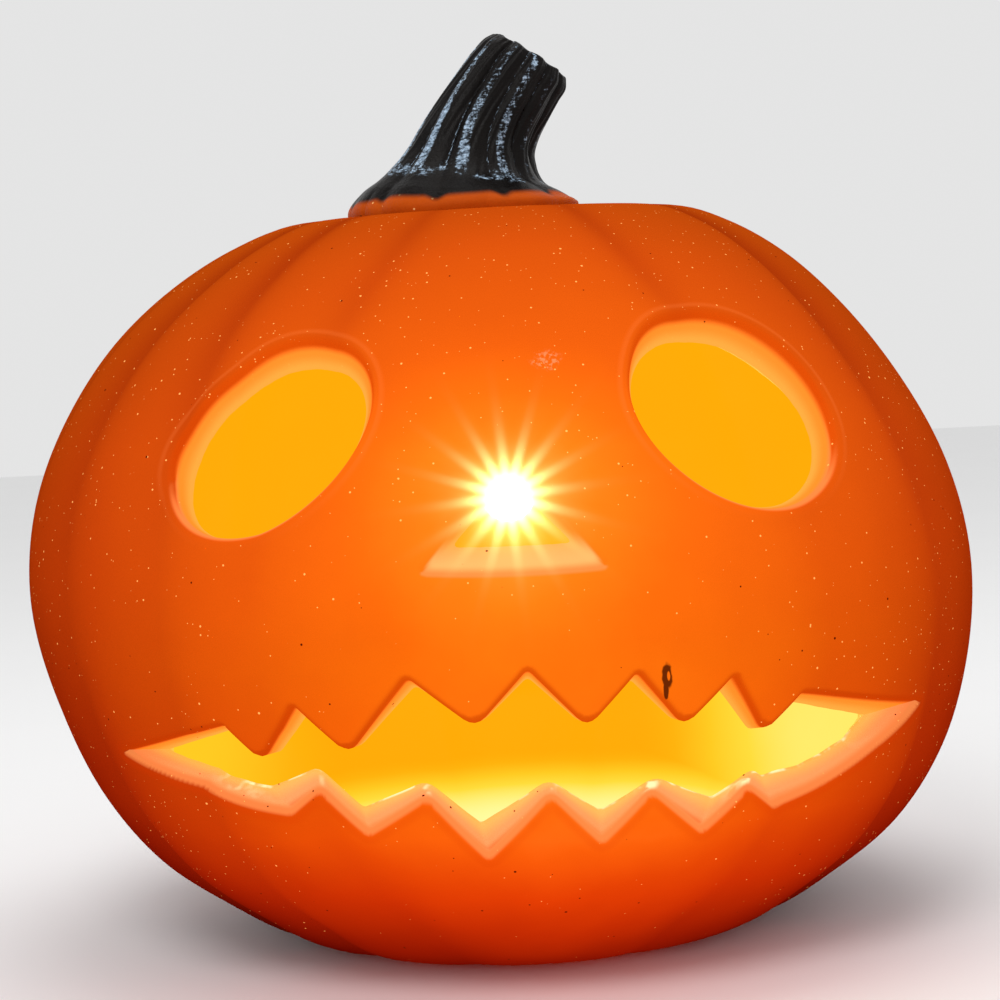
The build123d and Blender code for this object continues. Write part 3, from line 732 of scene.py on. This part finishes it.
def shell_material():
    n = Nodes("pumpkin_orange")
    place = n.place()
    x, _, z = n.axes_of(place)
    lip, gap, crease = n.attribute("lip"), n.attribute("edge_gap"), n.attribute("crease")
    cloud = n.noise(9, 3, 0.55, place)
    level = n.math("MULTIPLY_ADD", z, 1000 / BODY_HEIGHT, n.math("MULTIPLY_ADD", cloud, 0.08, -0.04))

    # albedo: orange above, going deep red towards the base as painted shade, with painted shade in the
    # creases
    albedo = n.ramp(level, [
        (0.0, srgb(56, 3, 0)), (0.12, srgb(84, 6, 0)), (0.3, srgb(118, 20, 1)),
        (0.55, srgb(154, 47, 3)), (0.8, srgb(164, 60, 5)), (1.0, srgb(170, 66, 7)),
    ])
    albedo = n.mix(n.math("MULTIPLY", crease, 0.6), albedo, srgb(130, 30, 3))

    # painted glow of the light that comes through the wall: strongest in front and round the nose,
    # fading to the top, base and sides, redder low down, with painted shade in the creases
    rise = n.ramp(level, [
        (0.0, (0.15,) * 3), (0.07, (0.44,) * 3), (0.14, (0.7,) * 3), (0.23, (0.9,) * 3),
        (0.48, (0.74,) * 3), (0.7, (0.7,) * 3), (0.84, (0.46,) * 3), (0.93, (0.28,) * 3),
        (1.0, (0.1,) * 3),
    ])
    through = n.math("MULTIPLY", rise, n.math("MULTIPLY_ADD", facing_share(n, place, 4), 0.92, 0.08))
    through = n.math("MULTIPLY", through, n.math("MULTIPLY_ADD", n.noise(38, 3, 0.6, place), 0.16, 0.92))
    through = n.math("MULTIPLY", through, n.math("MULTIPLY_ADD", crease, -0.2, 1.0))
    halo = n.vector("DISTANCE", place, NOSE_MIDDLE)
    through = n.math("ADD", through, n.step(halo, 0.01, 0.055, 0.2, 0.0))
    glow = n.ramp(through, [
        (0.0, (0, 0, 0)), (0.12, (0.11, 0.008, 0.001)), (0.25, (0.25, 0.025, 0.002)),
        (0.5, (0.5, 0.073, 0.003)), (0.7, (0.7, 0.13, 0.004)), (0.85, (0.85, 0.2, 0.008)),
        (1.0, (1.0, 0.32, 0.03)),
    ])
    redder = n.ramp(level, [
        (0.0, (1, 0.28, 0.3)), (0.14, (1, 0.36, 0.3)), (0.24, (1, 0.6, 0.4)), (0.45, (1, 1, 0.6)),
        (0.6, (1, 1, 1)),
    ])
    glow = n.mix(1.0, glow, redder, "MULTIPLY")

    # the shoulder round each opening: painted shade where it turns down, a painted highlight where it
    # turns up, a thin band of painted shade along the edge, a faint red band of painted shade below
    # the mouth and a faint pale painted highlight round the eyes
    geometry = n.tree.nodes.new("ShaderNodeNewGeometry")
    up = n.axes_of(geometry.outputs["Normal"])[2]
    turn = n.math("SUBTRACT", up, n.attribute("lean"))
    near = n.math("MULTIPLY", n.step(gap, 1.2, 2.6, 1.0, 0.0), n.step(halo, 0.03, 0.044))
    # painted shade where the shoulder turns down, painted highlight where it turns up
    under = n.math("MULTIPLY", n.step(turn, -0.4, -0.03, 1.0, 0.0), near)
    over = n.math("MULTIPLY", n.step(turn, 0.1, 0.55), n.step(gap, 0.2, 1.3, 1.0, 0.0))
    # painted shade in a thin band along the edge
    edge_shade = n.math("MULTIPLY", n.step(gap, 0.1, 1.5, 0.35, 0.0), n.step(turn, 0.04, 0.22, 1.0, 0.0))
    edge_shade = n.math("MULTIPLY", edge_shade, near)
    # painted shade in a faint red band below the mouth
    ditch_shade = n.math("MULTIPLY", n.step(gap, 0.8, 1.8), n.step(gap, 2.0, 4.6, 1.0, 0.0))
    ditch_shade = n.math("MULTIPLY", ditch_shade, n.step(z, 0.07, 0.085, 0.14, 0.0))
    ditch_shade = n.math("MULTIPLY", ditch_shade, n.step(z, 0.02, 0.04))
    # painted highlight on the bead round the eyes
    bead = n.math("MULTIPLY", n.step(gap, 2.0, 2.9), n.step(gap, 3.1, 4.6, 1.0, 0.0))
    bead = n.math("MULTIPLY", bead, n.step(z, 0.13, 0.17, 0.0, 0.12))
    glow = n.mix(n.math("MULTIPLY", under, 0.55), glow, (0.36, 0.03, 0.0))
    glow = n.mix(n.math("MULTIPLY", over, 0.75), glow, (0.92, 0.3, 0.08))
    glow = n.mix(edge_shade, glow, (0.45, 0.04, 0.0))
    glow = n.mix(ditch_shade, glow, (0.5, 0.02, 0.0))
    glow = n.mix(bead, glow, (0.85, 0.25, 0.06))
    # the pale turned-in wall, with painted light on it that is paler where the lower lip faces up,
    # and patches of painted highlight there
    turned = n.step(lip, 0.0, 0.34)
    low = n.math("MULTIPLY", n.step(up, -0.2, 0.2), n.step(z, 0.1, 0.125, 1.0, 0.0))
    albedo = n.mix(turned, albedo, n.mix(low, srgb(196, 82, 30), srgb(222, 120, 84)))
    lip_glow = n.mix(low, (0.74, 0.22, 0.015), (0.72, 0.2, 0.05))
    lip_glow = n.mix(n.step(lip, 0.35, 1.0), lip_glow, (0.8, 0.36, 0.05))
    # painted light on the nose's lower ledge
    ledge = n.math("MULTIPLY", n.step(halo, 0.03, 0.04, 1.0, 0.0), n.step(z, 0.128, 0.136, 1.0, 0.0))
    lip_glow = n.mix(ledge, lip_glow, (0.85, 0.44, 0.14))
    glow = n.mix(turned, glow, lip_glow)
    shine = n.math("MULTIPLY", n.step(up, 0.72, 0.95), n.step(lip, 0.1, 0.5))
    shine = n.math("MULTIPLY", shine, n.step(x, -0.088, -0.072))
    shine = n.math("MULTIPLY", shine, low)
    shine = n.math("MULTIPLY", shine, n.step(n.noise(160, 2, 0.6, place), 0.42, 0.58))
    glow = n.mix(shine, glow, (1.0, 0.85, 0.45))

    # a scorch mark beside the mouth and a patch of painted sheen on the forehead
    def spot(at, half):
        away = n.vector("SUBTRACT", place, tuple(v * MM for v in at))
        return n.vector("LENGTH", n.vector("MULTIPLY", away, tuple(1 / (h * MM) for h in half)))

    waver = n.math("MULTIPLY_ADD", n.noise(260, 2, 0.6, place), 0.9, -0.45)
    flame = n.math("ADD", spot((42.2, -142, 95.6), (1.5, 9, 3.7)), waver)
    heart = n.math("ADD", spot((42.6, -142, 95.4), (0.55, 9, 1.6)), waver)
    tail = n.math("ADD", spot((41.7, -142, 91.6), (0.8, 9, 3.0)), waver)
    burn = n.math("MULTIPLY", n.step(flame, 0.75, 1.05, 1.0, 0.0), n.step(heart, 0.6, 0.95))
    burn = n.math("MAXIMUM", burn, n.step(tail, 0.7, 1.0, 1.0, 0.0))
    burn = n.math("MULTIPLY", burn, 0.92)
    # painted sheen: a pale speckled patch on the forehead
    forehead_sheen = n.math("ADD", spot((14.7, -124.6, 181), (4.5, 9, 3.0)), n.math("MULTIPLY", waver, 1.6))
    forehead_sheen = n.step(forehead_sheen, 0.5, 1.1, 0.5, 0.0)
    forehead_sheen = n.math("MULTIPLY", forehead_sheen, n.step(n.noise(900, 2, 0.6, place), 0.45, 0.6))
    albedo = n.mix(burn, albedo, srgb(46, 14, 4))
    glow = n.mix(burn, glow, (0.05, 0.004, 0))
    glow = n.mix(forehead_sheen, glow, (0.8, 0.4, 0.2))

    # flecks in the plastic: cream ones, mostly above and to the sides, brown ones below
    side = n.step(n.math("ABSOLUTE", x), 0.03, 0.13)
    share = n.math("MULTIPLY_ADD", n.math("MAXIMUM", side, n.step(z, 0.1, 0.2)), 0.2, 0.025)
    share = n.math("MULTIPLY", share, n.step(n.noise(30, 2, 0.6, place), 0.35, 0.62, 0.3, 1.15))
    cream = flecks(n, 0.3, 1.9, share, place)
    elsewhere = n.vector("ADD", place, (0.11, 0.23, 0.07))
    fine = flecks(n, 0.19, 1.15, n.math("MULTIPLY", share, 0.7), elsewhere)
    cream = n.math("MULTIPLY", n.math("MAXIMUM", cream, fine), n.step(lip, 0.0, 0.3, 0.8, 0.1))
    elsewhere = n.vector("ADD", place, (0.31, 0.17, 0.05))
    brown = flecks(n, 0.36, 3.4, n.step(z, 0.02, 0.16, 0.2, 0.07), elsewhere)
    albedo = n.mix(cream, albedo, srgb(235, 170, 90))
    albedo = n.mix(brown, albedo, srgb(60, 14, 4))
    glow = n.mix(n.math("MULTIPLY", cream, 0.6), glow, (0.7, 0.3, 0.08))
    glow = n.mix(brown, glow, (0.08, 0.005, 0))

    n.shade(Base_Color=albedo, Emission_Color=glow, Emission_Strength=1.0)
    n.shade(IOR=1.45, Specular_IOR_Level=0.0)
    rough = n.math("MULTIPLY_ADD", n.noise(140, 2, 0.5, place), 0.14, 0.36)
    n.shade(Roughness=n.step(lip, 0.1, 0.6, rough, 0.3))
    grain = n.math("MULTIPLY", n.noise(420, 3, 0.6, place), 0.35)
    dents = n.math("MULTIPLY", n.noise(70, 2, 0.5, place), 0.65)
    n.bump(n.math("ADD", grain, dents), 0.00035, 0.6)
    return n.material


def inner_material():
    n = Nodes("pumpkin_inside")
    place = n.place()
    x, y, z = n.axes_of(place)
    # painted lamp light on the inside wall: pale yellow on the floor, at the ends of the mouth and
    # towards the front, amber where the lamp's light doesn't reach
    floor = n.step(z, 0.012, 0.033, 0.95, 0.0)
    low = n.step(z, 0.055, 0.115, 1.0, 0.0)
    right = n.math("MULTIPLY", n.step(x, 0.045, 0.104, 0.0, 0.66), low)
    left = n.math("MULTIPLY", n.step(x, -0.112, -0.06, 0.3, 0.0), low)
    front = n.step(y, -0.1, -0.03, 0.7, 0.0)
    shade = n.math("MAXIMUM", n.math("MAXIMUM", floor, right), n.math("MAXIMUM", left, front))
    shade = n.math("ADD", shade, n.math("MULTIPLY_ADD", n.noise(30, 2, 0.5, place), 0.06, -0.03))
    glow = n.ramp(shade, [
        (0.0, srgb(254, 170, 6)), (0.1, srgb(254, 178, 12)), (0.3, srgb(254, 202, 34)),
        (0.5, srgb(254, 220, 60)), (0.68, srgb(255, 236, 110)), (0.95, srgb(255, 252, 160)),
    ])
    n.shade(Base_Color=srgb(50, 22, 0), Emission_Color=glow, Emission_Strength=1.0, Roughness=0.6)
    n.shade(Specular_IOR_Level=0.05)
    n.bump(n.noise(160, 2, 0.5, place), 0.0002, 0.4)
    return n.material


def cut_edge_material():
    n = Nodes("pumpkin_cut_edge")
    place = n.place()
    # painted glow of the lamp's light through the cut edge of the wall
    tone = n.noise(120, 3, 0.6, place)
    glow = n.mix(tone, srgb(240, 150, 50), srgb(255, 215, 90))
    n.shade(Base_Color=srgb(150, 90, 40), Emission_Color=glow, Emission_Strength=0.85, Roughness=0.4)
    n.bump(n.noise(500, 2, 0.5, place), 0.0002, 0.5)
    return n.material


# ---------------------------------------------------------------- stem material
def stem_material():
    n = Nodes("stem_paint_and_highlights")
    place = n.place()
    x, _, z = n.axes_of(place)
    ridge, flank, way = n.attribute("ridge"), n.attribute("flank"), n.attribute("way")
    # black paint ends in a soft wavy edge that runs down a little into the grooves
    edge = n.math("MULTIPLY_ADD", n.noise(24, 2, 0.5, place), 0.006, 0.2286)
    edge = n.math("ADD", edge, n.step(ridge, 0.1, 0.7, -0.0012, 0.0))
    black = n.step(n.math("SUBTRACT", z, edge), -0.0008, 0.0012)
    drops = flecks(n, 0.5, 3.2, 0.25, n.vector("MULTIPLY", place, (0.5, 0.5, 1.6)))
    black = n.math("MAXIMUM", black, n.math("MULTIPLY", drops, n.step(z, 0.225, 0.229, 0.0, 0.9)))

    orange = n.mix(n.noise(60, 2, 0.5, place), srgb(172, 66, 6), srgb(194, 82, 12))
    orange = n.mix(flecks(n, 0.42, 2.6, 0.4, place), orange, srgb(240, 180, 110))
    paint = n.mix(n.noise(90, 3, 0.6, place), srgb(6, 5, 5), srgb(22, 18, 16))

    # dry-brushed blue-grey strokes mixed with painted highlights of reflected light: wide on the left
    # flanks of the ridges, where the light falls, and a few near the base
    hatch = n.noise(620, 5, 0.85, place, (0.7, 0.7, 1.9))
    threads = n.noise(420, 3, 0.7, place, (2.2, 2.2, 0.5))
    patches = n.noise(62, 2, 0.6, place, (1.0, 1.0, 0.45))
    band = n.math("MULTIPLY", n.step(flank, 0.14, 0.3), n.step(flank, 0.46, 0.66, 1.0, 0.0))
    # painted highlight: stronger towards the left side of the stem, where the light falls
    left = n.step(x, -0.022, 0.016, 0.34, -0.04)
    cover = n.math("ADD", n.math("MULTIPLY", band, n.math("ADD", patches, left)), -0.3)
    cover = n.math("MULTIPLY", cover, n.step(way, 0.3, 0.44))
    skirt = n.math("MULTIPLY", n.step(way, 0.3, 0.35), n.step(way, 0.36, 0.46, 1.0, 0.0))
    skirt = n.math("MULTIPLY", skirt, n.step(patches, 0.46, 0.6, 0.0, 0.3))
    cover = n.math("MAXIMUM", cover, skirt)
    grit = n.math("ADD", n.math("MULTIPLY", hatch, 0.6), n.math("MULTIPLY", threads, 0.4))
    stroke_and_highlight = n.step(n.math("ADD", grit, n.math("MULTIPLY", cover, 0.42)), 0.57, 0.7)
    stroke_and_highlight = n.math("MULTIPLY", stroke_and_highlight, n.step(cover, 0.0, 0.2))
    pale_stroke_and_reflection = n.mix(n.step(hatch, 0.4, 0.62), srgb(52, 66, 82), srgb(186, 212, 236))
    paint = n.mix(n.math("MULTIPLY", stroke_and_highlight, 0.85), paint, pale_stroke_and_reflection)
    n.shade(Base_Color=n.mix(black, orange, paint), Specular_IOR_Level=n.step(way, 0.3, 0.45, 0.03, 0.09))
    n.shade(Roughness=n.step(black, 0.2, 0.8, 0.45, n.math("MULTIPLY_ADD", hatch, 0.3, 0.14)))
    grain = n.math("ADD", n.noise(700, 3, 0.6, place, (1, 1, 0.4)), n.math("MULTIPLY", hatch, 0.5))
    n.bump(grain, 0.0004, 0.6)
    return n.material


# ---------------------------------------------------------------- materials of the lamp module
def plastic(name, colour, rough=0.45, grain=0.00015, scale=900):
    n = Nodes(name)
    place = n.place()
    deeper = tuple(c * 0.75 for c in colour)
    n.shade(Base_Color=n.mix(n.noise(35, 3, 0.6, place), deeper, colour))
    n.shade(Roughness=n.math("MULTIPLY_ADD", n.noise(180, 2, 0.5, place), 0.16, rough - 0.08))
    n.bump(n.noise(scale, 2, 0.5, place), grain, 0.6)
    return n.material


def metal(name, colour, rough=0.28):
    n = Nodes(name)
    place = n.place()
    streaks = n.noise(500, 3, 0.6, place, (1, 0.15, 1))
    n.shade(Base_Color=n.mix(streaks, tuple(c * 0.8 for c in colour), colour), Metallic=1.0)
    n.shade(Roughness=n.math("MULTIPLY_ADD", streaks, 0.18, rough - 0.06))
    n.bump(streaks, 0.00006, 0.4)
    return n.material


def lamp_glow(name, colour, strength, tint):
    n = Nodes(name)
    place = n.place()
    tone = n.noise(300, 2, 0.5, place)
    n.shade(Base_Color=n.mix(tone, tint, colour), Emission_Color=n.mix(tone, tint, colour))
    n.shade(Emission_Strength=strength, Roughness=0.4)
    return n.material


def diffuser_glow():
    """The frosted dome: evenly lit, with a hot spot where the lamp stands behind it."""
    n = Nodes("lamp_diffuser")
    low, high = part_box("led_diffuser")
    middle = ((low[0] + high[0]) / 2, 0, (low[2] + high[2]) / 2)
    place = n.place()
    away = n.vector("DISTANCE", n.vector("MULTIPLY", place, (1, 0, 1)), middle)
    colour = n.mix(n.noise(300, 2, 0.5, place), srgb(255, 240, 200), srgb(255, 250, 232))
    n.shade(Base_Color=colour, Emission_Color=colour, Roughness=0.4)
    n.shade(Emission_Strength=n.step(away, 0.0015, 0.0019, 100.0, 3.0))
    return n.material


def lit_plastic():
    """The cover that faces the lamp's own light inside the pumpkin, with that light painted on as a glow.
    """
    n = Nodes("cover_plastic_painted_glow")
    tone = n.noise(60, 2, 0.5, n.place())
    n.shade(Base_Color=srgb(70, 34, 4), Emission_Color=n.mix(tone, srgb(250, 160, 6), srgb(255, 196, 24)))
    n.shade(Emission_Strength=0.9, Roughness=0.6, Specular_IOR_Level=0.1)
    return n.material


def cell_wrap():
    """Metal jacket with a plain coloured band near one end of each cell."""
    n = Nodes("cell_wrap")
    place = n.place()
    x = n.axes_of(place)[0]
    band = n.step(n.math("ABSOLUTE", n.math("SUBTRACT", x, PORT[0] * MM)), 0.0115, 0.0117)
    jacket = n.mix(n.noise(60, 2, 0.5, place), srgb(28, 30, 34), srgb(44, 46, 52))
    n.shade(Base_Color=n.mix(band, jacket, srgb(176, 112, 40)), Metallic=0.6, Roughness=0.3)
    n.bump(n.noise(200, 2, 0.5, place), 0.00005, 0.3)
    return n.material


def dress_nodes():
    """Give every carried-over CAD node its material."""
    brown = plastic("module_plastic", srgb(64, 34, 18))
    steel = metal("zinc_steel", srgb(190, 190, 186))
    nickel = metal("nickel_strip", srgb(205, 200, 188), 0.22)
    board = plastic("board_green", srgb(16, 84, 42), 0.35, 0.00005)
    chip = plastic("chip_black", srgb(26, 26, 28), 0.5)
    looks = {
        "stem_washer": steel, "stem_screw": steel, "cover_screws": steel, "hinge_pin": steel,
        "door_screw": steel,
        "lamp_housing": brown, "front_cover": lit_plastic(),
        "battery_door": plastic("door_plastic", srgb(58, 30, 16), 0.5),
        "port_seal": plastic("seal_rubber", srgb(22, 22, 22), 0.65),
        "circuit_board": board, "led_board": board, "board_chips": chip, "switch_body": chip,
        "switch_knob": plastic("knob_black", srgb(18, 18, 20), 0.3),
        "contact_plates": nickel, "contact_springs": nickel, "battery_cells": cell_wrap(),
        "red_lead": plastic("lead_red", srgb(170, 20, 16), 0.35),
        "black_lead": plastic("lead_black", srgb(20, 20, 22), 0.35),
        "led_chip": lamp_glow("led_yellow", srgb(255, 236, 150), 8.0, srgb(255, 214, 90)),
        "led_diffuser": diffuser_glow(),
    }
    for node, material in looks.items():
        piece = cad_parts[node]
        for slot in piece.material_slots:
            slot.material = material
        if not piece.material_slots:
            piece.data.materials.append(material)


# ---------------------------------------------------------------- stage, lights and camera
def make_stage():
    bpy.ops.mesh.primitive_plane_add(size=6)
    floor = bpy.context.object
    floor.name = "floor"
    n = Nodes("floor_paper")
    n.shade(Base_Color=n.mix(n.noise(8, 2, 0.5), (0.86, 0.86, 0.86), (0.88, 0.88, 0.88)), Roughness=0.9)
    floor.data.materials.append(n.material)

    world = bpy.data.worlds.new("studio")
    bpy.context.scene.world = world
    world.use_nodes = True
    world.node_tree.nodes["Background"].inputs["Color"].default_value = (1, 1, 1, 1)
    world.node_tree.nodes["Background"].inputs["Strength"].default_value = 0.78

    def area(name, at, aim, size, power, colour=(1, 1, 1)):
        data = bpy.data.lights.new(name, "AREA")
        data.shape = "DISK"
        data.size, data.energy, data.color = size, power, colour
        lamp = bpy.data.objects.new(name, data)
        bpy.context.scene.collection.objects.link(lamp)
        lamp.location = at
        lamp.rotation_euler = (Vector(aim) - Vector(at)).to_track_quat("-Z", "Y").to_euler()

    area("key", (-0.25, -0.9, 0.95), (0, 0, 0.15), 0.5, 4)
    area("top", (0.1, 0.1, 1.3), (0, 0, 0.2), 0.9, 4)

    bulb = bpy.data.lights.new("bulb", "POINT")
    bulb.energy, bulb.color, bulb.shadow_soft_size = 0.35, (1.0, 0.72, 0.36), 0.009
    shine = bpy.data.objects.new("bulb", bulb)
    shine.location = (LAMP[0] * MM, (LAMP[1] - 22) * MM, LAMP[2] * MM)
    bpy.context.scene.collection.objects.link(shine)


def make_camera():
    data = bpy.data.cameras.new("camera")
    data.lens, data.sensor_width = LENS, 36
    camera = bpy.data.objects.new("camera", data)
    bpy.context.scene.collection.objects.link(camera)
    place = Matrix.Translation(Vector(CAMERA_AT) * MM)
    tilt = Matrix.Rotation(radians(90 - CAMERA_TILT), 4, "X")
    roll = Matrix.Rotation(radians(-CAMERA_ROLL), 4, "Z")
    camera.matrix_world = place @ tilt @ roll
    bpy.context.scene.camera = camera


def add_starburst():
    """The hot spot of the lamp flares in the lens: a ring of fine rays and a faint soft glow."""
    scene = bpy.context.scene
    scene.use_nodes = True
    tree = scene.node_tree
    tree.nodes.clear()
    image = tree.nodes.new("CompositorNodeRLayers").outputs["Image"]
    warm = (1, 0.84, 0.5, 1)
    flares = (
        ("STREAKS", {
            "Streaks": 16, "Streaks Angle": radians(8), "Iterations": 5, "Fade": 0.88, "Strength": 0.65,
            "Color Modulation": 0, "Tint": warm,
        }),
        ("FOG_GLOW", {"Size": 0.05, "Strength": 0.35, "Tint": warm}),
    )
    for kind, values in flares:
        flare = tree.nodes.new("CompositorNodeGlare")
        flare.glare_type = kind
        flare.inputs["Threshold"].default_value = 8.0
        for name, value in values.items():
            flare.inputs[name].default_value = value
        tree.links.new(image, flare.inputs["Image"])
        image = flare.outputs["Image"]
    tree.links.new(image, tree.nodes.new("CompositorNodeComposite").inputs["Image"])


make_camera()
make_stage()
add_starburst()
bpy.context.scene.view_settings.view_transform = "Standard"

shell = build_shell()
for make in (shell_material, inner_material, cut_edge_material):
    shell.data.materials.append(make())
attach(shell, "shell")
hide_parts("pumpkin_shell")

stem = build_stem()
stem.data.materials.append(stem_material())
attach(stem, "shell")
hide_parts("stem")

dress_nodes()
